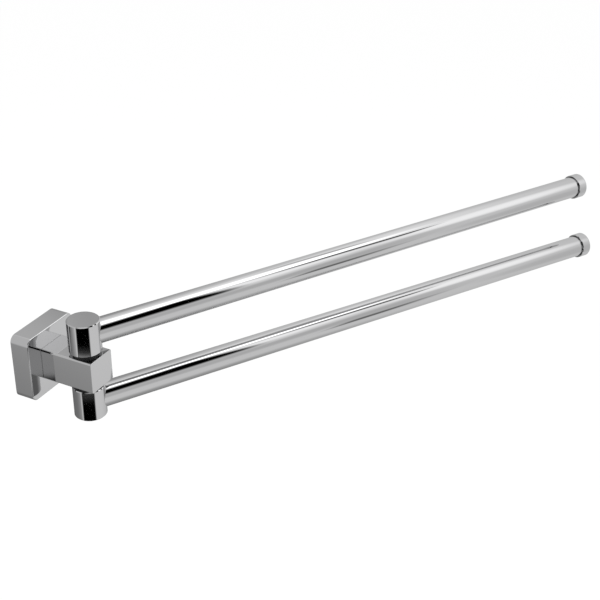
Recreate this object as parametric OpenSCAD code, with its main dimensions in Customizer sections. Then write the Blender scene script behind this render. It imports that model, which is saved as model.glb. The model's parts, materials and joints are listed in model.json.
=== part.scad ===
// Swing arm towel bar: a square arm on a wall rosette carries one vertical spindle,
// and two round bars turn on it, one above the arm and one below.
// Frame: +Z is up, the wall is the plane y = 0 and the object stands out towards -Y.
// The origin is the centre of the rosette's back. All lengths are in millimetres.

/* [Wall rosette] */
// Side of the square rosette
rosette_w = 43.5; // [38:0.5:60]
// How far the rosette stands out from the wall
rosette_d = 13; // [12.5:0.5:17]
// Radius of the rosette's four corners, seen from the front
rosette_corner_r = 4.5; // [3.5:0.1:7]
// Width of the slanted edge round the rosette's front, seen from the front
rosette_bevel_w = 0.8; // [0.3:0.1:1.5]
// Depth of that slanted edge
rosette_bevel_d = 0.45; // [0.2:0.05:1]
// Thickness of the rosette's side walls
rosette_wall = 2.5; // [2:0.1:3]
// Thickness of the rosette's front
rosette_front_t = 3; // [2.5:0.1:3.5]

/* [Wall bracket] */
// Thickness of the bracket's plate
bracket_t = 3; // [2:0.1:4]
// Thickness of the bracket's upper and lower lips
bracket_lip_t = 2.5; // [2.2:0.1:3.5]
// Width of the bracket's lips
bracket_lip_w = 18; // [12:0.5:24]
// Diameter of the wall screw holes
bracket_screw_d = 5; // [4:0.1:5.5]
// Room round the arm bolt's head in the bracket's middle hole
bracket_head_room = 0.95; // [0.5:0.05:1.5]

/* [Square arm] */
// Side of the square arm
arm_w = 21; // [19:0.5:30]
// Distance of the arm's front face from the wall
arm_reach = 50; // [44:0.5:70]
// Radius of the arm's long edges
arm_corner_r = 1; // [0.9:0.1:2]
// Width of the slanted edge round the arm's front face, seen from the front
arm_bevel_w = 0.25; // [0.1:0.05:0.7]
// Depth of that slanted edge
arm_bevel_d = 0.15; // [0.05:0.05:0.7]
// Distance of the spindle's axis behind the arm's front face
pivot_setback = 11; // [8:0.5:13]

/* [Hubs] */
// Diameter of each hub
hub_d = 20.5; // [19:0.5:28]
// Height of each hub
hub_h = 21; // [19.5:0.5:30]
// Open gap between the arm and each hub
hub_gap = 2; // [1:0.1:4]
// Chamfer on a hub's rims
hub_chamfer = 0.5; // [0.2:0.1:0.6]
// Thickness of the disc that covers a hub's outer end
hub_cap_t = 1.4; // [1:0.1:2]

/* [Bars] */
// Diameter of each bar
bar_d = 16; // [13:0.5:17]
// Wall thickness of the bar's tube
bar_wall = 1.5; // [1:0.1:2]
// Distance from the spindle's axis to the far end of a bar's cap
bar_reach = 422; // [200:1:600]
// Angle of the upper bar from the wall, in degrees
upper_angle = 28.7; // [0:0.1:180]
// Angle of the lower bar from the wall, in degrees
lower_angle = 30.4; // [0:0.1:180]

/* [End caps] */
// How far each end cap stands proud of its bar, all round
cap_step = 1.2; // [0.6:0.1:4]
// Length of each end cap
cap_l = 8; // [5:0.5:16]
// Radius of an end cap's far edge
cap_edge_r = 1.2; // [0.5:0.1:2]
// Width of the groove between the bar and its cap
cap_groove_w = 1; // [0.5:0.1:2]

/* [Pivot] */
// Diameter of the spindle
spindle_d = 10; // [9:0.5:10.5]
// Outer diameter of the plastic bushes
bush_d = 13; // [12.5:0.5:14]
// Outer diameter of the thrust washers between the arm and the hubs
thrust_washer_d = 16; // [14:0.5:18]
// Diameter of the screws in the spindle's two ends
pivot_screw_d = 5; // [4:0.5:5]
// Diameter of the washers under those screws
pivot_washer_d = 14; // [12.5:0.5:15]

/* [Hidden] */

$fn = 96;

// Clearances on the radius or between faces
push_fit = 0.02;
screw_fit = 0.03;
run_fit = 0.05;
pass_gap = 0.3;
// How far a cut runs past the face it opens
overrun = 1;

// Distance of the spindle's axis from the wall
pivot_reach = arm_reach - pivot_setback;

// Inside of the rosette, and the bracket that fills it
bracket_gap = 0.2;
bracket_corner_r = 3;
bracket_front_gap = 1.5;
cavity_w = rosette_w - 2 * rosette_wall;
cavity_d = rosette_d - rosette_front_t;
cavity_corner_r = rosette_corner_r - rosette_wall;
bracket_w = cavity_w - 2 * bracket_gap;
bracket_d = cavity_d - bracket_front_gap;

// Grub screw under the rosette
rosette_screw_d = 4;
rosette_screw_recess = 0.3;
rosette_screw_bite = 1.4;
rosette_screw_hex = 2;
rosette_screw_hex_depth = 1.6;
rosette_screw_out = (bracket_t + bracket_d) / 2;

// Bolt that holds the arm to the rosette, with its washer and two pins
arm_bolt_d = 6;
arm_bolt_head_d = 10;
arm_bolt_head_h = 4;
arm_bolt_hex = 5;
arm_bolt_hex_depth = 2.4;
arm_washer_d = 11;
arm_washer_t = 1.6;
pin_d = 3;
pin_l = 8;
pin_washer_gap = 0.2;
pin_x = arm_washer_d / 2 + pin_washer_gap + pin_d / 2;
arm_bolt_seat = cavity_d - arm_washer_t;

// The wall screw holes are midway between the middle hole's edge and the bracket's sides
bracket_middle_d = arm_bolt_head_d + 2 * bracket_head_room;
bracket_screw_span = (bracket_middle_d + bracket_w) / 2;

// Grub screw in front of that bolt, which locks the spindle in the arm
spindle_flat_depth = 0.5;
spindle_flat_h = 9;
spindle_screw_l = 6;
spindle_screw_hex = 3;
spindle_screw_hex_depth = 2.5;
spindle_screw_gap = 2;
spindle_flat_out = pivot_reach - spindle_d / 2 + spindle_flat_depth;
spindle_screw_back = spindle_flat_out - spindle_screw_l;
arm_bolt_tip = spindle_screw_back - spindle_screw_gap;

// Stack of pieces in a hub's outer end, measured up from the hub's inner face
hub_lip_t = 0.8;
head_gap = 0.4;
pivot_head_d = 9;
pivot_head_h = 2.2;
pivot_hex = 3;
pivot_hex_depth = 1.3;
pivot_screw_l = 11;
pivot_hole_extra = 1;
pivot_washer_t = 1;
disc_spring_h = 0.7;
disc_spring_t = 0.4;
hub_web_t = 1.6;
hub_stack_h = disc_spring_h + pivot_washer_t + pivot_head_h + head_gap;
hub_web_top = hub_h - hub_cap_t - hub_stack_h;
hub_web_bottom = hub_web_top - hub_web_t;
hub_recess_r = pivot_washer_d / 2 + 2 * pass_gap;
hub_cap_r = hub_d / 2 - hub_lip_t;
hub_web_r = spindle_d / 2 + pass_gap;
bush_l = hub_web_bottom - pass_gap;
spindle_chamfer = 0.4;
spindle_end = hub_web_top + disc_spring_h;
hub_base = arm_w / 2 + hub_gap;
spindle_l = 2 * (hub_base + spindle_end);

// Bar, its spigot in the hub, and its cap
bar_z = hub_h / 2;
bar_bore_r = bar_d / 2 - bar_wall;
spigot_nose_d = 6;
spigot_l = 14;
cap_neck_step = 0.6;
cap_spigot_l = 11;
cap_near_edge = 0.3;
cap_ring_d = 1.5;
cap_ring_room = 0.1;
cap_ring_setback = 5;
cap_d = bar_d + 2 * cap_step;
cap_start = bar_reach - cap_l;
bar_end = cap_start - cap_groove_w;
spigot_end = hub_d / 2 + spigot_l;
cap_ring_out = bar_end - cap_ring_setback;
cap_ring_r = bar_bore_r - push_fit - cap_ring_d / 2;

// Frames in which the pieces are drawn
// x across, y up, z out from the wall
module out_from_wall() rotate([90, 0, 0]) children();

// z = 0 on the inner face of the upper hub, on the spindle's axis
module at_upper_hub() translate([0, -pivot_reach, hub_base]) children();

// The lower hub is the upper one mirrored in the arm
module at_lower_hub() mirror([0, 0, 1]) at_upper_hub() children();

// z along a bar from the spindle's axis, for a bar swung out from the wall by angle
module along_bar(angle) translate([0, 0, bar_z]) rotate([0, 0, -angle]) rotate([0, 90, 0]) children();

// Half section of a block or post whose front edge is slanted
module bevelled_profile(half, depth, bevel_w, bevel_d)
    polygon([[0, 0], [half, 0], [half, depth - bevel_d], [half - bevel_w, depth], [0, depth]]);

// Square block with upright corners of radius corner_r and a slanted front edge
module bevelled_block(side, depth, corner_r, bevel_w, bevel_d) {
    corner = side / 2 - corner_r;
    for (turn = [0:90:270]) rotate([0, 0, turn]) rotate([90, 0, 90])
        linear_extrude(2 * corner, center = true) bevelled_profile(side / 2, depth, bevel_w, bevel_d);
    for (x = [-corner, corner], y = [-corner, corner]) translate([x, y, 0])
        rotate_extrude() bevelled_profile(corner_r, depth, bevel_w, bevel_d);
}

// Flat plate with rounded corners
module rounded_plate(side, depth, corner_r) {
    corner = side / 2 - corner_r;
    translate([-side / 2, -corner, 0]) cube([side, 2 * corner, depth]);
    translate([-corner, -side / 2, 0]) cube([2 * corner, side, depth]);
    for (x = [-corner, corner], y = [-corner, corner]) translate([x, y, 0]) cylinder(depth, r = corner_r);
}

// Flat ring
module ring(height, outer_r, inner_r) difference() {
    cylinder(height, r = outer_r);
    translate([0, 0, -overrun]) cylinder(height + 2 * overrun, r = inner_r);
}

// Hexagon socket for a key of the given size, cut down from z = 0
module hex_socket(key, depth) translate([0, 0, -depth])
    cylinder(depth + overrun, d = key / cos(30), $fn = 6);

// Solid shaft from z = 0 with both ends chamfered
module chamfered_rod(length, r, chamfer) rotate_extrude()
    polygon([[0, 0], [r - chamfer, 0], [r, chamfer], [r, length - chamfer], [r - chamfer, length], [0, length]]);

// Cast bracket on the wall, with two lips that the rosette slides over
module wall_bracket() color("darkgray") out_from_wall() difference() {
    union() {
        rounded_plate(bracket_w, bracket_t, bracket_corner_r);
        for (side = [0, 1]) mirror([0, side, 0])
            translate([-bracket_lip_w / 2, bracket_w / 2 - bracket_lip_t, 0])
                cube([bracket_lip_w, bracket_lip_t, bracket_d]);
    }
    translate([0, 0, -overrun]) cylinder(bracket_t + 2 * overrun, d = bracket_middle_d);
    for (x = [-1, 1] * bracket_screw_span / 2) translate([x, 0, -overrun])
        cylinder(bracket_t + 2 * overrun, d = bracket_screw_d);
    translate([0, -bracket_w / 2 - overrun, rosette_screw_out]) rotate([-90, 0, 0])
        cylinder(overrun + rosette_screw_bite, d = rosette_screw_d + 2 * bracket_gap);
}

// Hollow square rosette, open at the wall
module rosette() color("silver") out_from_wall() difference() {
    bevelled_block(rosette_w, rosette_d, rosette_corner_r, rosette_bevel_w, rosette_bevel_d);
    translate([0, 0, -overrun]) rounded_plate(cavity_w, cavity_d + overrun, cavity_corner_r);
    cylinder(rosette_d + overrun, d = arm_bolt_d + 2 * pass_gap);
    for (x = [-pin_x, pin_x]) translate([x, 0, 0])
        cylinder(rosette_d + overrun, r = pin_d / 2 + push_fit);
    translate([0, -rosette_w / 2 - overrun, rosette_screw_out]) rotate([-90, 0, 0])
        cylinder(rosette_wall + 2 * overrun, d = rosette_screw_d);
}

// Grub screw in the rosette's underside, which bears on the bracket's lower lip
module rosette_set_screw() {
    start = -rosette_w / 2 + rosette_screw_recess;
    tip = -bracket_w / 2 + rosette_screw_bite;
    color("gray") translate([0, -rosette_screw_out, start]) difference() {
        cylinder(tip - start, r = rosette_screw_d / 2 - screw_fit);
        mirror([0, 0, 1]) hex_socket(rosette_screw_hex, rosette_screw_hex_depth);
    }
}

// Straight square arm, bored for the spindle and tapped from behind
module arm() color("silver") difference() {
    out_from_wall() translate([0, 0, rosette_d])
        bevelled_block(arm_w, arm_reach - rosette_d, arm_corner_r, arm_bevel_w, arm_bevel_d);
    translate([0, -pivot_reach, -arm_w / 2 - overrun])
        cylinder(arm_w + 2 * overrun, r = spindle_d / 2 + push_fit);
    out_from_wall() {
        cylinder(pivot_reach, d = arm_bolt_d);
        for (x = [-pin_x, pin_x]) translate([x, 0, 0])
            cylinder(cavity_d + pin_l + pin_washer_gap, r = pin_d / 2 + push_fit);
    }
}

// Bolt from inside the rosette into the arm
module arm_bolt() color("dimgray") out_from_wall() difference() {
    union() {
        translate([0, 0, arm_bolt_seat - arm_bolt_head_h]) cylinder(arm_bolt_head_h, d = arm_bolt_head_d);
        translate([0, 0, arm_bolt_seat]) cylinder(arm_bolt_tip - arm_bolt_seat, r = arm_bolt_d / 2 - screw_fit);
    }
    translate([0, 0, arm_bolt_seat - arm_bolt_head_h]) mirror([0, 0, 1])
        hex_socket(arm_bolt_hex, arm_bolt_hex_depth);
}

// Washer under the arm bolt's head
module arm_bolt_washer() color("lightgray") out_from_wall() translate([0, 0, arm_bolt_seat])
    ring(arm_washer_t, arm_washer_d / 2, arm_bolt_d / 2 + pass_gap);

// Two pins that keep the arm square to the rosette
module arm_locating_pins() color("lightgray") out_from_wall()
    for (x = [-pin_x, pin_x]) translate([x, 0, cavity_d]) cylinder(pin_l, d = pin_d);

// Fixed spindle through the arm, tapped at both ends
module spindle() color("lightgray") translate([0, -pivot_reach, 0]) difference() {
    translate([0, 0, -spindle_l / 2]) chamfered_rod(spindle_l, spindle_d / 2, spindle_chamfer);
    translate([-spindle_d / 2, spindle_d / 2 - spindle_flat_depth, -spindle_flat_h / 2])
        cube([spindle_d, spindle_d, spindle_flat_h]);
    for (side = [0, 1]) mirror([0, 0, side])
        translate([0, 0, spindle_l / 2 - pivot_screw_l + pivot_washer_t - pivot_hole_extra])
            cylinder(pivot_screw_l + pivot_hole_extra + overrun, d = pivot_screw_d);
}

// Grub screw that bears on the spindle's flat
module spindle_set_screw() color("dimgray") out_from_wall() difference() {
    translate([0, 0, spindle_screw_back]) cylinder(spindle_screw_l, r = arm_bolt_d / 2 - screw_fit);
    translate([0, 0, spindle_screw_back]) mirror([0, 0, 1]) hex_socket(spindle_screw_hex, spindle_screw_hex_depth);
}

// Slippery washer in the gap between the arm and a hub
module thrust_washer() color("dimgray") translate([0, 0, -hub_gap])
    ring(hub_gap - run_fit, thrust_washer_d / 2, spindle_d / 2 + run_fit);

// Plastic sleeve that turns on the spindle
module bush() color("ivory") ring(bush_l, bush_d / 2, spindle_d / 2 + run_fit);

// Turned hub, bored from both ends and tapped in its side for the bar's spigot
module hub(angle) color("silver") difference() {
    chamfered_rod(hub_h, hub_d / 2, hub_chamfer);
    translate([0, 0, -overrun]) cylinder(hub_web_bottom + overrun, r = bush_d / 2 + push_fit);
    cylinder(hub_h, r = hub_web_r);
    translate([0, 0, hub_web_top]) cylinder(hub_h, r = hub_recess_r);
    translate([0, 0, hub_h - hub_cap_t]) cylinder(hub_h, r = hub_cap_r);
    along_bar(angle) cylinder(hub_d, d = spigot_nose_d);
}

// Coned spring that keeps a light drag on the hub
module disc_spring() color("gray") translate([0, 0, hub_web_top + run_fit]) rotate_extrude() polygon([
    [pivot_washer_d / 2, 0],
    [pivot_washer_d / 2, disc_spring_t],
    [hub_web_r, disc_spring_h - run_fit],
    [hub_web_r, disc_spring_h - disc_spring_t - run_fit]
]);

// Washer clamped on the spindle's end
module pivot_washer() color("lightgray") translate([0, 0, spindle_end])
    ring(pivot_washer_t, pivot_washer_d / 2, pivot_screw_d / 2 + pass_gap);

// Low-headed screw in the spindle's end
module pivot_screw() color("gray") translate([0, 0, spindle_end + pivot_washer_t]) difference() {
    union() {
        cylinder(pivot_head_h, d = pivot_head_d);
        translate([0, 0, -pivot_screw_l]) cylinder(pivot_screw_l, r = pivot_screw_d / 2 - screw_fit);
    }
    translate([0, 0, pivot_head_h]) hex_socket(pivot_hex, pivot_hex_depth);
}

// Disc pressed into the hub's outer end, level with its rim
module hub_cap() color("silver") translate([0, 0, hub_h - hub_cap_t])
    cylinder(hub_cap_t, r = hub_cap_r - push_fit);

// Round space that a hub takes up, with a hair's clearance for what meets its side
module hub_envelope() translate([0, 0, -hub_gap]) cylinder(hub_h + 2 * hub_gap, r = hub_d / 2 + push_fit);

// Turned spigot screwed into the hub's side, which the bar is bonded over
module bar_spigot(angle) {
    nose_start = bush_d / 2 + pass_gap;
    color("goldenrod") union() {
        difference() {
            along_bar(angle) cylinder(spigot_end, r = bar_bore_r - push_fit);
            hub_envelope();
        }
        along_bar(angle) translate([0, 0, nose_start])
            cylinder(spigot_end - nose_start, r = spigot_nose_d / 2 - screw_fit);
    }
}

// Tube of a bar, its near end shaped to the round hub
module bar_tube(angle) color("silver") difference() {
    along_bar(angle) difference() {
        cylinder(bar_end, d = bar_d);
        translate([0, 0, -overrun]) cylinder(bar_end + 2 * overrun, r = bar_bore_r);
    }
    hub_envelope();
}

// Rubber ring that holds the cap in the tube
module cap_ring(angle) color("black") along_bar(angle) translate([0, 0, cap_ring_out])
    rotate_extrude() translate([cap_ring_r, 0]) circle(d = cap_ring_d);

// Half section of an end cap, from the near end of its spigot to its far face
module cap_profile() {
    ring_room = cap_ring_d / 2 + cap_ring_room;
    difference() {
        union() {
            translate([0, bar_end - cap_spigot_l]) square([bar_bore_r - push_fit, cap_start - bar_end + cap_spigot_l]);
            translate([0, bar_end]) square([bar_d / 2 - cap_neck_step, cap_groove_w + overrun]);
            translate([0, cap_start]) polygon([
                [0, 0],
                [cap_d / 2 - cap_near_edge, 0],
                [cap_d / 2, cap_near_edge],
                [cap_d / 2, cap_l - cap_edge_r],
                [cap_d / 2 - cap_edge_r, cap_l - cap_edge_r],
                [cap_d / 2 - cap_edge_r, cap_l],
                [0, cap_l]
            ]);
            translate([cap_d / 2 - cap_edge_r, bar_reach - cap_edge_r]) circle(cap_edge_r);
        }
        translate([cap_ring_r - ring_room, cap_ring_out - ring_room]) square([cap_d, 2 * ring_room]);
    }
}

// Turned end cap with its spigot in the tube
module end_cap(angle) color("silver") along_bar(angle) rotate_extrude() cap_profile();

wall_bracket();
rosette();
rosette_set_screw();
arm();
arm_bolt();
arm_bolt_washer();
arm_locating_pins();
spindle();
spindle_set_screw();

at_upper_hub() thrust_washer();  // upper_thrust_washer
at_upper_hub() bush();  // upper_bush
at_upper_hub() hub(upper_angle);  // upper_hub
at_upper_hub() disc_spring();  // upper_disc_spring
at_upper_hub() pivot_washer();  // upper_pivot_washer
at_upper_hub() pivot_screw();  // upper_pivot_screw
at_upper_hub() hub_cap();  // upper_hub_cap
at_upper_hub() bar_spigot(upper_angle);  // upper_bar_spigot
at_upper_hub() bar_tube(upper_angle);  // upper_bar
at_upper_hub() cap_ring(upper_angle);  // upper_cap_ring
at_upper_hub() end_cap(upper_angle);  // upper_end_cap

at_lower_hub() thrust_washer();  // lower_thrust_washer
at_lower_hub() bush();  // lower_bush
at_lower_hub() hub(lower_angle);  // lower_hub
at_lower_hub() disc_spring();  // lower_disc_spring
at_lower_hub() pivot_washer();  // lower_pivot_washer
at_lower_hub() pivot_screw();  // lower_pivot_screw
at_lower_hub() hub_cap();  // lower_hub_cap
at_lower_hub() bar_spigot(lower_angle);  // lower_bar_spigot
at_lower_hub() bar_tube(lower_angle);  // lower_bar
at_lower_hub() cap_ring(lower_angle);  // lower_cap_ring
at_lower_hub() end_cap(lower_angle);  // lower_end_cap
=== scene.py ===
import json
import math

import bmesh
import bpy
from mathutils import Matrix, Vector

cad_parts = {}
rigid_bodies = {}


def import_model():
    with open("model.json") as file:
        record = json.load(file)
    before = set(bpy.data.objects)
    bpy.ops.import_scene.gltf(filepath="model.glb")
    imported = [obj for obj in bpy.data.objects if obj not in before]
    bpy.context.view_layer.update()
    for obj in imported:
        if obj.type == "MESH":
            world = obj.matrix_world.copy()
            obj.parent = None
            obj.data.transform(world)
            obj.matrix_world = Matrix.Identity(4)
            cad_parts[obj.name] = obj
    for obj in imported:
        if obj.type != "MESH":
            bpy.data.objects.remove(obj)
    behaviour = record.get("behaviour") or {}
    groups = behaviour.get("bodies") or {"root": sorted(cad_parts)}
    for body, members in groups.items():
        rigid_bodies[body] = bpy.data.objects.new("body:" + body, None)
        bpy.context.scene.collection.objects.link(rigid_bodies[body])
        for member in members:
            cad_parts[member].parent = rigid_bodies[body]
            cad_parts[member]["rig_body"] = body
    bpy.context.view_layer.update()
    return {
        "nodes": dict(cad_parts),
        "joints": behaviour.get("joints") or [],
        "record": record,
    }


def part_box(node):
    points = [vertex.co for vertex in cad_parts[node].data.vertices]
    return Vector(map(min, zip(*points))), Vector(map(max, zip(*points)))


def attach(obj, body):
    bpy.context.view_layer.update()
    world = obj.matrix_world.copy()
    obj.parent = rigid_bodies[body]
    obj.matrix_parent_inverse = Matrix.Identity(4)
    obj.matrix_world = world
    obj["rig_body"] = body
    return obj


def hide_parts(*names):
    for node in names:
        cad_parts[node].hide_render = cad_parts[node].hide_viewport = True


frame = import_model()

MM = 0.001
UP = Vector((0, 0, 1))
ACROSS = Vector((1, 0, 0))
# Turns a piece drawn with z out from the wall into place
OUT_FROM_WALL = Matrix.Rotation(math.radians(90), 4, "X")
# Play between parts that slide or turn in each other
PLAY = 0.02 * MM

# Rosette
rosette_low, rosette_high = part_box("rosette")
ROSETTE_W = rosette_high.x - rosette_low.x
ROSETTE_D = -rosette_low.y
ROSETTE_CORNER_R = 4.5 * MM
ROSETTE_EDGE = 0.6 * MM
ROSETTE_WALL = 2.5 * MM
ROSETTE_FACE_T = 3 * MM
ROSETTE_CAVITY_D = ROSETTE_D - ROSETTE_FACE_T
ROSETTE_SCREW_OUT = 5.75 * MM
ROSETTE_SCREW_R = 2 * MM

# Arm
arm_low, arm_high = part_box("arm")
ARM_W = arm_high.x - arm_low.x
ARM_FRONT = -arm_low.y
ARM_CORNER_R = 1 * MM
ARM_EDGE = 0.2 * MM
ARM_BACK_EDGE = 0.3 * MM
BOLT_HOLE_R = 3 * MM
BOLT_ROOM_R = 3.3 * MM
BOLT_HOLE_DEPTH = 20.5 * MM
PIN_R = 1.5 * MM
PIN_HOLE_R = PIN_R + PLAY
PIN_HOLE_DEPTH = 5.2 * MM
PIN_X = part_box("arm_locating_pins")[1].x - PIN_R

# Pivot and hubs, measured up from a hub's inner face
spindle_low, spindle_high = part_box("spindle")
PIVOT_Y = (spindle_low.y + spindle_high.y) / 2
SPINDLE_BORE_R = (spindle_high.x - spindle_low.x) / 2 + PLAY
hub_low, hub_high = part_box("upper_hub")
HUB_BASE = hub_low.z
HUB_H = hub_high.z - hub_low.z
HUB_R = (hub_high.x - hub_low.x) / 2
HUB_CHAMFER = 0.5 * MM
HUB_BORE_R = 6.52 * MM
HUB_WEB_R = 5.3 * MM
HUB_WEB = (13.7 * MM, 15.3 * MM)
HUB_RECESS_R = 7.6 * MM
HUB_CAP_T = 1.4 * MM
HUB_SEAT_R = 9.45 * MM
HUB_CAP_R = 9.43 * MM
HUB_CAP_RIM = 0.08 * MM
HUB_CAP_RIM_STEPS = 3

# Bars and end caps, measured along a bar from the spindle's axis
bar_low, bar_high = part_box("upper_bar")
BAR_Z = (bar_low.z + bar_high.z) / 2
BAR_R = (bar_high.z - bar_low.z) / 2
BAR_WALL = 1.5 * MM
BAR_BORE_R = BAR_R - BAR_WALL
COPE_R = HUB_R + PLAY
cap_low, cap_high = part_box("upper_end_cap")
CAP_R = (cap_high.z - cap_low.z) / 2
CAP_L = 8 * MM
CAP_EDGE_R = 1.2 * MM
CAP_NEAR_EDGE = 0.3 * MM
CAP_GROOVE_W = 1 * MM
CAP_NECK_R = 7.4 * MM
CAP_SPIGOT_R = 6.48 * MM
CAP_SPIGOT_L = 11 * MM
RING_GROOVE = (-5.85 * MM, -4.15 * MM)
RING_GROOVE_R = 4.88 * MM

# How finely round shapes are cut, and what counts as the same place and way
TURN_STEPS = 320
CORNER_STEPS = 12
EDGE_STEPS = 5
HOLE_SIDES = 48
# Half width of the square patch round a hole and first inset of its mouth, in hole radii
PATCH_SHARE = 1.3
MOUTH_INSET_SHARE = 0.1
CRISP_ANGLE = math.radians(25)
SAME_POINT = 0.0005 * MM
SAME_WAY = 0.99


def swing_angle(joint):
    """Angle of a bar from the wall at rest, which is its joint's upper limit."""
    limits = [j["range_deg"] for j in frame["joints"] if j["name"] == joint]
    return math.radians(limits[0][1])


ANGLES = {side: swing_angle(side + "_bar_swing") for side in ("upper", "lower")}
# Far end of a bar's cap, from where the rounded cap reaches furthest across
BAR_REACH = CAP_EDGE_R + (
    cap_high.x - CAP_EDGE_R - (CAP_R - CAP_EDGE_R) * math.sin(ANGLES["upper"])
) / math.cos(ANGLES["upper"])
BAR_END = BAR_REACH - CAP_L - CAP_GROOVE_W


# Mesh tools


def clean(bm):
    """Merges doubled points and turns all faces outwards."""
    bmesh.ops.remove_doubles(bm, verts=bm.verts, dist=SAME_POINT)
    bmesh.ops.recalc_face_normals(bm, faces=bm.faces)


def arc(centre, radius, start, end, steps=CORNER_STEPS):
    """Points on a round stretch of a half section, angles in degrees."""
    turns = [math.radians(start + (end - start) * i / steps) for i in range(steps + 1)]
    return [(centre[0] + radius * math.cos(t), centre[1] + radius * math.sin(t)) for t in turns]


def turned(points, closed=False):
    """Spins a half section of (radius, height) points about the z axis."""
    bm = bmesh.new()
    verts = [bm.verts.new((radius, 0, height)) for radius, height in points]
    edges = [bm.edges.new(pair) for pair in zip(verts, verts[1:])]
    if closed:
        edges.append(bm.edges.new((verts[-1], verts[0])))
    bmesh.ops.spin(
        bm,
        geom=verts + edges,
        axis=UP,
        cent=(0, 0, 0),
        angle=math.tau,
        steps=TURN_STEPS,
        use_merge=True,
    )
    clean(bm)
    return bm


def face_at(bm, point, outward):
    """The flat face that holds a point and looks outward."""
    for face in bm.faces:
        on_plane = abs((face.verts[0].co - point).dot(outward)) < SAME_POINT
        same_way = face.normal.dot(outward) > SAME_WAY
        if on_plane and same_way and bmesh.geometry.intersect_face_point(face, point):
            return face
    raise ValueError(f"no face at {point}")


def hole_mouth(bm, centre, outward, radius):
    """Cuts a round face into the flat face at centre, and returns it."""
    outward = outward.normalized()
    patch = face_at(bm, centre, outward)
    for way in (ACROSS, -ACROSS, outward.cross(ACROSS), ACROSS.cross(outward)):
        bmesh.ops.bisect_plane(
            bm,
            geom=[patch, *patch.edges, *patch.verts],
            dist=SAME_POINT,
            plane_co=centre + way * radius * PATCH_SHARE,
            plane_no=way,
        )
        patch = face_at(bm, centre, outward)
    bmesh.ops.bisect_edges(bm, edges=patch.edges[:], cuts=HOLE_SIDES // 4 - 1)
    inset = radius * MOUTH_INSET_SHARE
    bmesh.ops.inset_individual(bm, faces=[patch], thickness=inset, use_even_offset=True)
    for vert in patch.verts:
        vert.co = centre + (vert.co - centre).normalized() * radius
    return patch


def blind_hole(bm, centre, outward, radius, depth):
    """Sinks a flat-bottomed hole into the face at centre."""
    mouth = hole_mouth(bm, centre, outward, radius)
    floor = bmesh.ops.extrude_discrete_faces(bm, faces=[mouth])["faces"][0]
    bmesh.ops.translate(bm, vec=-outward.normalized() * depth, verts=floor.verts)


def through_hole(bm, near, far, radius):
    """Drills from one flat face to the one behind it."""
    mouths = [hole_mouth(bm, near, near - far, radius), hole_mouth(bm, far, far - near, radius)]
    rims = [edge for mouth in mouths for edge in mouth.edges]
    bmesh.ops.delete(bm, geom=mouths, context="FACES_ONLY")
    bmesh.ops.bridge_loops(bm, edges=rims)


def round_off(bm, edges, width, steps):
    """Rounds edges off over the given width."""
    bmesh.ops.bevel(
        bm,
        geom=edges,
        offset=width,
        offset_type="OFFSET",
        segments=steps,
        profile=0.5,
        affect="EDGES",
        material=-1,
    )


def square_block(side, depth, corner_r, edge_w):
    """Square block with its back on z = 0, round upright corners and an eased front edge."""
    bm = bmesh.new()
    bmesh.ops.create_cube(bm, size=1)
    shape = Matrix.Diagonal((side, side, depth, 1)) @ Matrix.Translation(UP / 2)
    bmesh.ops.transform(bm, matrix=shape, verts=bm.verts)
    uprights = [e for e in bm.edges if abs(e.verts[0].co.z - e.verts[1].co.z) > SAME_POINT]
    round_off(bm, uprights, corner_r, CORNER_STEPS)
    front = face_at(bm, UP * depth, UP)
    round_off(bm, front.edges[:], edge_w, EDGE_STEPS)
    return bm


def make_piece(name, bm, material, place=Matrix.Identity(4)):
    """Turns a mesh into a chrome piece that stands for the frame's node of that name."""
    bmesh.ops.transform(bm, matrix=place, verts=bm.verts)
    clean(bm)
    mesh = bpy.data.meshes.new(name)
    bm.to_mesh(mesh)
    bm.free()
    mesh.shade_smooth()
    mesh.set_sharp_from_angle(angle=CRISP_ANGLE)
    mesh.materials.append(material)
    piece = bpy.data.objects.new(name + "_piece", mesh)
    bpy.context.scene.collection.objects.link(piece)
    weighted = piece.modifiers.new("Even shading", "WEIGHTED_NORMAL")
    weighted.weight = 100
    weighted.keep_sharp = True
    node = frame["nodes"][name]
    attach(piece, node["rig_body"])
    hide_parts(name)
    return piece


# Chrome pieces


def rosette(material):
    """Hollow square rosette with its bolt, pin and grub screw holes."""
    bm = square_block(ROSETTE_W, ROSETTE_D, ROSETTE_CORNER_R, ROSETTE_EDGE)
    back = face_at(bm, Vector(), -UP)
    bmesh.ops.inset_individual(bm, faces=[back], thickness=ROSETTE_WALL, use_even_offset=True)
    cavity_floor = bmesh.ops.extrude_discrete_faces(bm, faces=[back])["faces"][0]
    bmesh.ops.translate(bm, vec=UP * ROSETTE_CAVITY_D, verts=cavity_floor.verts)
    for x, radius in ((-PIN_X, PIN_HOLE_R), (0, BOLT_ROOM_R), (PIN_X, PIN_HOLE_R)):
        inside, outside = Vector((x, 0, ROSETTE_CAVITY_D)), Vector((x, 0, ROSETTE_D))
        through_hole(bm, inside, outside, radius)
    inside = Vector((0, ROSETTE_WALL - ROSETTE_W / 2, ROSETTE_SCREW_OUT))
    outside = Vector((0, -ROSETTE_W / 2, ROSETTE_SCREW_OUT))
    through_hole(bm, inside, outside, ROSETTE_SCREW_R)
    make_piece("rosette", bm, material, OUT_FROM_WALL)


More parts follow.
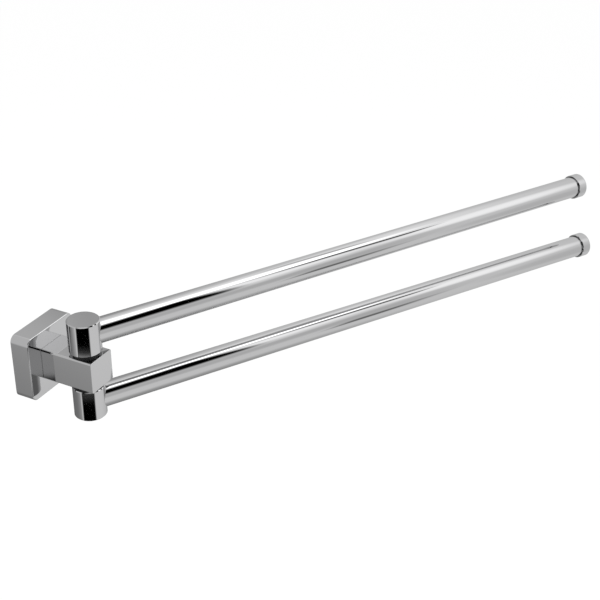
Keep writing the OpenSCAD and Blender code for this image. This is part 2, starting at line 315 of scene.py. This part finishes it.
def arm(material):
    """Square arm, bored for the spindle and drilled from behind."""
    length = ARM_FRONT - ROSETTE_D
    bm = square_block(ARM_W, length, ARM_CORNER_R, ARM_EDGE)
    back = face_at(bm, Vector(), -UP)
    rim = back.verts[:]
    bmesh.ops.inset_individual(bm, faces=[back], thickness=ARM_BACK_EDGE, use_even_offset=True)
    bmesh.ops.translate(bm, vec=UP * ARM_BACK_EDGE, verts=rim)
    bore_out = -PIVOT_Y - ROSETTE_D
    half = ARM_W / 2
    through_hole(bm, Vector((0, half, bore_out)), Vector((0, -half, bore_out)), SPINDLE_BORE_R)
    blind_hole(bm, Vector(), -UP, BOLT_HOLE_R, BOLT_HOLE_DEPTH)
    for x in (-PIN_X, PIN_X):
        blind_hole(bm, Vector((x, 0, 0)), -UP, PIN_HOLE_R, PIN_HOLE_DEPTH)
    make_piece("arm", bm, material, OUT_FROM_WALL @ Matrix.Translation(UP * ROSETTE_D))


def hub_place(side):
    """z = 0 on a hub's inner face, on the spindle's axis. The lower hub is a mirror image."""
    place = Matrix.Translation((0, PIVOT_Y, HUB_BASE))
    if side == "lower":
        place = Matrix.Diagonal((1, 1, -1, 1)) @ place
    return place


def hub(side, material):
    """Turned hub, bored from both ends."""
    web_bottom, web_top = HUB_WEB
    seat = HUB_H - HUB_CAP_T
    bm = turned([
        (HUB_BORE_R, 0),
        (HUB_R - HUB_CHAMFER, 0),
        (HUB_R, HUB_CHAMFER),
        (HUB_R, HUB_H - HUB_CHAMFER),
        (HUB_R - HUB_CHAMFER, HUB_H),
        (HUB_SEAT_R, HUB_H),
        (HUB_SEAT_R, seat),
        (HUB_RECESS_R, seat),
        (HUB_RECESS_R, web_top),
        (HUB_WEB_R, web_top),
        (HUB_WEB_R, web_bottom),
        (HUB_BORE_R, web_bottom),
    ], closed=True)
    make_piece(side + "_hub", bm, material, hub_place(side))


def hub_cap(side, material):
    """Disc pressed into a hub's outer end."""
    base = HUB_H - HUB_CAP_T
    rim_centre = (HUB_CAP_R - HUB_CAP_RIM, HUB_H - HUB_CAP_RIM)
    rim = arc(rim_centre, HUB_CAP_RIM, 0, 90, HUB_CAP_RIM_STEPS)
    bm = turned([(0, base), (HUB_CAP_R, base), *rim, (0, HUB_H)])
    make_piece(side + "_hub_cap", bm, material, hub_place(side))


def bar_place(side):
    """z = 0 on the spindle's axis, z along the bar."""
    turn = Matrix.Rotation(-ANGLES[side], 4, "Z") @ Matrix.Rotation(math.radians(90), 4, "Y")
    height = BAR_Z if side == "upper" else -BAR_Z
    return Matrix.Translation((0, PIVOT_Y, height)) @ turn


def bar(side, material):
    """Tube whose near end is shaped to the round hub."""
    section = [(BAR_BORE_R, 0), (BAR_R, 0), (BAR_R, BAR_END), (BAR_BORE_R, BAR_END)]
    bm = turned(section, closed=True)
    for vert in bm.verts:
        if vert.co.z < BAR_END / 2:
            vert.co.z = math.sqrt(COPE_R**2 - vert.co.y**2)
    make_piece(side + "_bar", bm, material, bar_place(side))


def end_cap(side, material):
    """Turned cap with its neck and its grooved spigot in the tube."""
    start = BAR_REACH - CAP_L
    edge_centre = (CAP_R - CAP_EDGE_R, BAR_REACH - CAP_EDGE_R)
    ring_near, ring_far = (BAR_END + out for out in RING_GROOVE)
    bm = turned([
        (0, BAR_END - CAP_SPIGOT_L),
        (CAP_SPIGOT_R, BAR_END - CAP_SPIGOT_L),
        (CAP_SPIGOT_R, ring_near),
        (RING_GROOVE_R, ring_near),
        (RING_GROOVE_R, ring_far),
        (CAP_SPIGOT_R, ring_far),
        (CAP_SPIGOT_R, BAR_END),
        (CAP_NECK_R, BAR_END),
        (CAP_NECK_R, start),
        (CAP_R - CAP_NEAR_EDGE, start),
        (CAP_R, start + CAP_NEAR_EDGE),
        *arc(edge_centre, CAP_EDGE_R, 0, 90),
        (0, BAR_REACH),
    ])
    make_piece(side + "_end_cap", bm, material, bar_place(side))


# Materials

# How much light the chrome mirrors, its cool cast and its tint at grazing angles
CHROME_GREY = 0.6
CHROME_CAST = 1.008
CHROME_GRAZING = 0.78
WORN_WIDTH = 0.15 * MM
WORN_ROUGHNESS = 0.22


def plain_material(name, **values):
    """A material with its shader's own sockets set, its node tree and that shader."""
    material = bpy.data.materials.new(name)
    material.use_nodes = True
    shader = material.node_tree.nodes["Principled BSDF"]
    for socket, value in values.items():
        shader.inputs[socket.replace("_", " ")].default_value = value
    return material, material.node_tree, shader


def noise(tree, scale, stretch=(1, 1, 1), detail=3.0):
    """Noise on the piece's own coordinates; scale is in features per metre."""
    place = tree.nodes.new("ShaderNodeTexCoord")
    mapping = tree.nodes.new("ShaderNodeMapping")
    mapping.inputs["Scale"].default_value = stretch
    pattern = tree.nodes.new("ShaderNodeTexNoise")
    pattern.inputs["Scale"].default_value = scale
    pattern.inputs["Detail"].default_value = detail
    tree.links.new(place.outputs["Object"], mapping.inputs["Vector"])
    tree.links.new(mapping.outputs["Vector"], pattern.inputs["Vector"])
    return pattern.outputs["Fac"]


def between(tree, value, low, high, start=0.3, end=0.7):
    """Spreads a pattern's start to end over low to high."""
    spread = tree.nodes.new("ShaderNodeMapRange")
    spread.inputs["From Min"].default_value = start
    spread.inputs["From Max"].default_value = end
    spread.inputs["To Min"].default_value = low
    spread.inputs["To Max"].default_value = high
    tree.links.new(value, spread.inputs["Value"])
    return spread.outputs["Result"]


def blend_values(tree, first, second, share):
    """Mixes two values; share is a number or a pattern."""
    mix = tree.nodes.new("ShaderNodeMix")
    for socket, value in (("Factor", share), ("A", first), ("B", second)):
        if isinstance(value, (int, float)):
            mix.inputs[socket].default_value = value
        else:
            tree.links.new(value, mix.inputs[socket])
    return mix.outputs["Result"]


def bump(tree, shader, height, depth):
    """Raises a pattern by depth metres on the shader's surface."""
    raised = tree.nodes.new("ShaderNodeBump")
    raised.inputs["Distance"].default_value = depth
    tree.links.new(height, raised.inputs["Height"])
    tree.links.new(raised.outputs["Normal"], shader.inputs["Normal"])


def worn_edges(tree, width):
    """1 along sharp edges, 0 on open surfaces."""
    rounded = tree.nodes.new("ShaderNodeBevel")
    rounded.samples = 4
    rounded.inputs["Radius"].default_value = width
    flat = tree.nodes.new("ShaderNodeNewGeometry")
    alike = tree.nodes.new("ShaderNodeVectorMath")
    alike.operation = "DOT_PRODUCT"
    tree.links.new(rounded.outputs["Normal"], alike.inputs[0])
    tree.links.new(flat.outputs["Normal"], alike.inputs[1])
    return between(tree, alike.outputs["Value"], low=1.0, high=0.0, start=0.8, end=0.98)


def add_values(tree, first, second):
    """Sum of two patterns."""
    total = tree.nodes.new("ShaderNodeMath")
    tree.links.new(first, total.inputs[0])
    tree.links.new(second, total.inputs[1])
    return total.outputs["Value"]


def chrome():
    """Mirror chrome plate: faint waves, soft smears, fine polishing marks and duller edges."""
    material, tree, shader = plain_material(
        "polished_chrome",
        Base_Color=(CHROME_GREY, CHROME_GREY, CHROME_GREY * CHROME_CAST, 1),
        Metallic=1.0,
        Specular_Tint=(CHROME_GRAZING, CHROME_GRAZING, CHROME_GRAZING, 1),
    )
    smears = between(tree, noise(tree, 45), low=0.02, high=0.045)
    marks = between(tree, noise(tree, 900, stretch=(1, 1, 6)), low=0.0, high=0.015)
    worn = worn_edges(tree, WORN_WIDTH)
    dull = blend_values(tree, add_values(tree, smears, marks), WORN_ROUGHNESS, worn)
    tree.links.new(dull, shader.inputs["Roughness"])
    bump(tree, shader, noise(tree, 120, detail=1.0), depth=0.0015 * MM)
    return material


def turned_steel():
    """Plain turned steel with fine tool marks."""
    material, tree, shader = plain_material(
        "turned_steel", Base_Color=(0.56, 0.56, 0.57, 1), Metallic=1.0
    )
    roughness = between(tree, noise(tree, 400), low=0.22, high=0.36)
    tree.links.new(roughness, shader.inputs["Roughness"])
    bump(tree, shader, noise(tree, 2500, stretch=(1, 1, 0.1)), depth=0.01 * MM)
    return material


def blackened_steel():
    """Black oxide, worn thin in patches."""
    material, tree, shader = plain_material(
        "blackened_steel", Base_Color=(0.035, 0.035, 0.038, 1), Metallic=0.8
    )
    roughness = between(tree, noise(tree, 500), low=0.38, high=0.6)
    tree.links.new(roughness, shader.inputs["Roughness"])
    bump(tree, shader, noise(tree, 3000), depth=0.01 * MM)
    return material


def cast_zinc():
    """Bare zinc casting with a fine grain."""
    material, tree, shader = plain_material(
        "cast_zinc", Base_Color=(0.42, 0.43, 0.45, 1), Metallic=0.9
    )
    roughness = between(tree, noise(tree, 300), low=0.42, high=0.62)
    tree.links.new(roughness, shader.inputs["Roughness"])
    bump(tree, shader, noise(tree, 1800, detail=5.0), depth=0.04 * MM)
    return material


def turned_brass():
    """Turned brass, slightly dulled."""
    material, tree, shader = plain_material(
        "turned_brass", Base_Color=(0.68, 0.47, 0.19, 1), Metallic=1.0
    )
    roughness = between(tree, noise(tree, 350), low=0.2, high=0.38)
    tree.links.new(roughness, shader.inputs["Roughness"])
    bump(tree, shader, noise(tree, 2500), depth=0.01 * MM)
    return material


def nylon(name, colour):
    """Moulded nylon with a satin skin."""
    material, tree, shader = plain_material(name, Base_Color=(*colour, 1))
    roughness = between(tree, noise(tree, 600), low=0.4, high=0.55)
    tree.links.new(roughness, shader.inputs["Roughness"])
    bump(tree, shader, noise(tree, 4000), depth=0.006 * MM)
    return material


def rubber():
    """Soft black rubber ring."""
    material, tree, shader = plain_material("black_rubber", Base_Color=(0.018, 0.018, 0.018, 1))
    roughness = between(tree, noise(tree, 900), low=0.5, high=0.7)
    tree.links.new(roughness, shader.inputs["Roughness"])
    bump(tree, shader, noise(tree, 3000), depth=0.01 * MM)
    return material


def dress_frame():
    """Gives each of the frame's shown nodes the finish of its slot."""
    finishes = {
        "plain_steel": turned_steel(),
        "black_steel": blackened_steel(),
        "cast_zinc": cast_zinc(),
        "natural_nylon": nylon("natural_nylon", (0.76, 0.73, 0.65)),
        "black_nylon": nylon("black_nylon", (0.02, 0.02, 0.021)),
        "turned_brass": turned_brass(),
        "black_rubber": rubber(),
    }
    for part in frame["record"]["subparts"]:
        node = frame["nodes"][part["node"]]
        if not node.hide_render:
            node.data.materials.clear()
            node.data.materials.append(finishes[part["material_slot"]])


# Studio

FLOOR_DROP = 1.2
FLOOR_SIZE = 40
# How pale the floor's paint is, and its share of plain white where it is seen or mirrored
FLOOR_PAINT = 0.95
FLOOR_WHITE_SHARE = 0.9
# Strength of the world's light on everything that isn't seen or mirrored
SOFT_LIGHT = 0.95
# Just wide enough for the bars to swing in
DOME_R = 0.6


def seen_directly_or_mirrored(tree):
    """1 for camera, glossy and transmission rays."""
    path = tree.nodes.new("ShaderNodeLightPath")
    total = path.outputs["Is Camera Ray"]
    for name in ("Is Glossy Ray", "Is Transmission Ray"):
        step = tree.nodes.new("ShaderNodeMath")
        step.operation = "MAXIMUM"
        tree.links.new(total, step.inputs[0])
        tree.links.new(path.outputs[name], step.inputs[1])
        total = step.outputs["Value"]
    return total


def studio_world():
    """White where it is seen or mirrored, and a soft grey light otherwise."""
    world = bpy.data.worlds.new("studio")
    bpy.context.scene.world = world
    world.use_nodes = True
    tree = world.node_tree
    background = tree.nodes["Background"]
    background.inputs["Color"].default_value = (1, 1, 1, 1)
    strength = blend_values(tree, SOFT_LIGHT, 1.0, seen_directly_or_mirrored(tree))
    tree.links.new(strength, background.inputs["Strength"])


def pale_floor():
    """Wide pale floor that shows white and keeps a part of the object's shadow."""
    bpy.ops.mesh.primitive_plane_add(size=FLOOR_SIZE, location=(0, 0, -FLOOR_DROP))
    floor = bpy.context.object
    floor.name = "floor"
    material = bpy.data.materials.new("pale_floor")
    material.use_nodes = True
    tree = material.node_tree
    tree.nodes.clear()
    paint = tree.nodes.new("ShaderNodeBsdfDiffuse")
    paint.inputs["Color"].default_value = (FLOOR_PAINT, FLOOR_PAINT, FLOOR_PAINT, 1)
    light = tree.nodes.new("ShaderNodeEmission")
    light.inputs["Strength"].default_value = 1.0
    mix = tree.nodes.new("ShaderNodeMixShader")
    output = tree.nodes.new("ShaderNodeOutputMaterial")
    share = blend_values(tree, 0.0, FLOOR_WHITE_SHARE, seen_directly_or_mirrored(tree))
    tree.links.new(share, mix.inputs["Fac"])
    tree.links.new(paint.outputs["BSDF"], mix.inputs[1])
    tree.links.new(light.outputs["Emission"], mix.inputs[2])
    tree.links.new(mix.outputs["Shader"], output.inputs["Surface"])
    floor.data.materials.append(material)


# Boards on the dome. Azimuth runs from +Y towards +X and elevation up from the level, in degrees.
# A board is a list of limits: a centre, how far it reaches round it and how soft its edge is.


def direction(azimuth, elevation):
    """Unit vector that way."""
    a, e = math.radians(azimuth), math.radians(elevation)
    return Vector((math.sin(a) * math.cos(e), math.cos(a) * math.cos(e), math.sin(e)))


def spot(azimuth, elevation, reach, soft):
    """Round board."""
    return [(direction(azimuth, elevation), reach, soft)]


def hub_level(elevation):
    """Axis of an edge that the hubs see as level, from where they stand in front of the wall."""
    return Vector((0, PIVOT_Y / DOME_R * math.sin(math.radians(elevation)), 1)).normalized()


def above(elevation, soft, axis=UP):
    """Keeps what is higher than a level edge."""
    return (axis, 90 - elevation, soft)


def below(elevation, soft, axis=UP):
    """Keeps what is lower than a level edge."""
    return (-axis, 90 + elevation, soft)


def after(azimuth, soft):
    """Keeps the half turn after an upright edge."""
    return (direction(azimuth + 90, 0), 90, soft)


def before(azimuth, soft):
    """Keeps the half turn before an upright edge."""
    return (direction(azimuth - 90, 0), 90, soft)


def beside(start, end, soft, inside):
    """Keeps the side of a straight edge on which the direction inside lies."""
    normal = direction(*start).cross(direction(*end)).normalized()
    return (normal if normal.dot(inside) > 0 else -normal, 90, soft)


def board(*corners):
    """Board with straight edges; each corner gives the softness of the edge that follows it."""
    points = [corner[:2] for corner in corners]
    middle = sum((direction(*point) for point in points), Vector())
    ends = points[1:] + points[:1]
    edges = zip(points, ends, corners)
    return [beside(start, end, soft, middle) for start, end, (_, _, soft) in edges]


# What the chrome mirrors, later boards over earlier ones: name, the grey it shows as, limits
ROOM_GREY = 188
BOARDS = [
    ("dim floor", 138, spot(90, -80, 30, 24)),
    ("left wall", 172, [after(291, 4), before(30, 12), above(-70, 12), below(70, 12)]),
    ("left wall foot", 142, [after(291, 4), before(10, 12), below(-31, 8)]),
    ("left corner", 108, spot(350, -38, 22, 30)),
    ("back wall", 135, [after(0, 20), before(63, 14), above(-40, 8), below(42, 8)]),
    ("back wall foot", 105, [after(340, 20), before(80, 25), below(-25, 12)]),
    ("back glow", 166, spot(45, 35, 3, 7)),
    ("side dimness", 166, [after(153, 8), before(215, 8), above(-6, 8), below(19, 8)]),
    ("dim spot", 172, spot(138, -7, 3, 10)),
    (
        "bright wall",
        214,
        board((87, 20.5, 12), (125, 20.5, 12), (170, 20.5, 8), (170, 75, 8), (74, 75, 8)),
    ),
    ("bright spot", 236, spot(138, 21, 3, 12)),
    (
        "soft box",
        306,
        board((115, 38, 8), (128, 35, 4), (146, 50, 5), (166, 61, 5), (170, 80, 5), (112, 80, 12)),
    ),
    ("bright band", 232, spot(154.5, 38, 4, 9)),
    (
        "streak",
        34,
        [*board((130, 28.3, 2), (141, 28.3, 4), (149, 45, 5), (139, 45, 3)), after(134.6, 0.8)],
    ),
    (
        "faint streak",
        150,
        board((93, 43, 3), (100, 37.5, 2), (114, 37.5, 3), (112, 41, 3), (98, 47, 3)),
    ),
    ("blot", 95, board((154, -6, 4), (164.5, -6, 2), (164.5, -18, 3), (156, -17, 4))),
    (
        "high curtain",
        0,
        [
            above(23.5, 7),
            below(54.5, 4),
            before(289, 5),
            beside((152.4, 52.5), (168.2, 26.5), 2, direction(200, 40)),
        ],
    ),
    ("low curtain", 0, [after(196.5, 4), before(282, 4), above(-43, 4), below(-20, 4)]),
    ("black flag", 0, [after(218, 5), before(247, 6), above(-30, 4), below(30, 5)]),
    (
        "dim strip",
        42,
        [
            after(201, 4),
            before(278, 4),
            above(-34.3, 0.5, hub_level(-34.3)),
            below(-28.9, 0.5, hub_level(-28.9)),
        ],
    ),
    (
        "strip",
        152,
        [
            after(202, 4),
            before(277, 4),
            above(-33.3, 0.4, hub_level(-33.3)),
            below(-29.7, 0.5, hub_level(-29.7)),
        ],
    ),
]


def mirrored(grey):
    """Strength of a light that the chrome shows as a grey of 0 to 255, by the sRGB curve."""
    share = grey / 255
    linear = ((share + 0.055) / 1.055) ** 2.4 if share > 0.04 else share / 12.92
    return linear / CHROME_GREY


def inside_limit(tree, way, centre, reach, soft):
    """1 well within reach of a centre, 0 well outside it."""
    closeness = tree.nodes.new("ShaderNodeVectorMath")
    closeness.operation = "DOT_PRODUCT"
    closeness.inputs[1].default_value = centre
    tree.links.new(way, closeness.inputs[0])
    fade = tree.nodes.new("ShaderNodeMapRange")
    fade.interpolation_type = "SMOOTHSTEP"
    fade.inputs["From Min"].default_value = math.cos(math.radians(reach + soft))
    fade.inputs["From Max"].default_value = math.cos(math.radians(max(reach - soft, 0)))
    tree.links.new(closeness.outputs["Value"], fade.inputs["Value"])
    return fade.outputs["Result"]


def inside_board(tree, way, limits, name):
    """1 inside all of a board's limits."""
    share = inside_limit(tree, way, *limits[0])
    for limit in limits[1:]:
        step = tree.nodes.new("ShaderNodeMath")
        step.operation = "MULTIPLY"
        step.label = name
        tree.links.new(share, step.inputs[0])
        tree.links.new(inside_limit(tree, way, *limit), step.inputs[1])
        share = step.outputs["Value"]
    return share


def reflection_dome():
    """Dome of soft-edged boards round the object, which only mirrored rays see."""
    material = bpy.data.materials.new("reflection_dome")
    material.use_nodes = True
    tree = material.node_tree
    tree.nodes.clear()
    place = tree.nodes.new("ShaderNodeTexCoord")
    unit = tree.nodes.new("ShaderNodeVectorMath")
    unit.operation = "NORMALIZE"
    tree.links.new(place.outputs["Object"], unit.inputs[0])
    level = mirrored(ROOM_GREY)
    for name, grey, limits in BOARDS:
        share = inside_board(tree, unit.outputs["Vector"], limits, name)
        level = blend_values(tree, level, mirrored(grey), share)
    light = tree.nodes.new("ShaderNodeEmission")
    tree.links.new(level, light.inputs["Strength"])
    output = tree.nodes.new("ShaderNodeOutputMaterial")
    tree.links.new(light.outputs["Emission"], output.inputs["Surface"])
    bpy.ops.mesh.primitive_uv_sphere_add(
        segments=128, ring_count=64, radius=DOME_R, location=(0, 0, 0)
    )
    dome = bpy.context.object
    dome.name = "reflection_dome"
    dome.data.materials.append(material)
    dome.visible_camera = False
    dome.visible_diffuse = False
    dome.visible_shadow = False


def soft_lamp(name, azimuth, elevation, distance, size, power):
    """Area lamp that looks at the object, and doesn't show in the chrome."""
    lamp = bpy.data.lights.new(name, "AREA")
    lamp.size = size
    lamp.energy = power
    holder = bpy.data.objects.new(name, lamp)
    holder.location = direction(azimuth, elevation) * distance
    holder.rotation_mode = "QUATERNION"
    holder.rotation_quaternion = holder.location.to_track_quat("Z", "Y")
    holder.visible_glossy = False
    bpy.context.scene.collection.objects.link(holder)


# Camera, matched to the photograph's 600 by 600 pixels
IMAGE_W = 600
SENSOR_W = 36.0
FOCAL_PX = 1157.05
CAMERA_AT = Vector((-0.478288, -0.423049, 0.379574))
CAMERA_AZIMUTH = -63.444
CAMERA_ELEVATION = 28.871
CAMERA_ROLL = 0.854


def photo_camera():
    """Camera that sees the object as the photograph does."""
    camera = bpy.data.cameras.new("photo_camera")
    camera.sensor_width = SENSOR_W
    camera.lens = FOCAL_PX / IMAGE_W * SENSOR_W
    camera.clip_start = 0.01
    camera.clip_end = 100
    holder = bpy.data.objects.new("photo_camera", camera)
    a, e = math.radians(CAMERA_AZIMUTH), math.radians(CAMERA_ELEVATION)
    # From the object to the camera, and towards the picture's right
    back = Vector((math.sin(a) * math.cos(e), -math.cos(a) * math.cos(e), math.sin(e)))
    right = Vector((math.cos(a), math.sin(a), 0))
    level = Matrix((right, back.cross(right), back)).transposed()
    turn = level @ Matrix.Rotation(math.radians(CAMERA_ROLL), 3, "Z")
    holder.matrix_world = Matrix.Translation(CAMERA_AT) @ turn.to_4x4()
    bpy.context.scene.collection.objects.link(holder)
    bpy.context.scene.camera = holder


def main():
    """Builds the chrome pieces, the finishes and the studio."""
    polished = chrome()
    rosette(polished)
    arm(polished)
    for side in ("upper", "lower"):
        hub(side, polished)
        hub_cap(side, polished)
        bar(side, polished)
        end_cap(side, polished)
    dress_frame()
    studio_world()
    pale_floor()
    reflection_dome()
    soft_lamp("key_lamp", azimuth=150, elevation=50, distance=2.5, size=1.5, power=60)
    soft_lamp("fill_lamp", azimuth=-110, elevation=40, distance=3.0, size=2.0, power=40)
    photo_camera()
    bpy.context.scene.view_settings.view_transform = "Standard"


main()
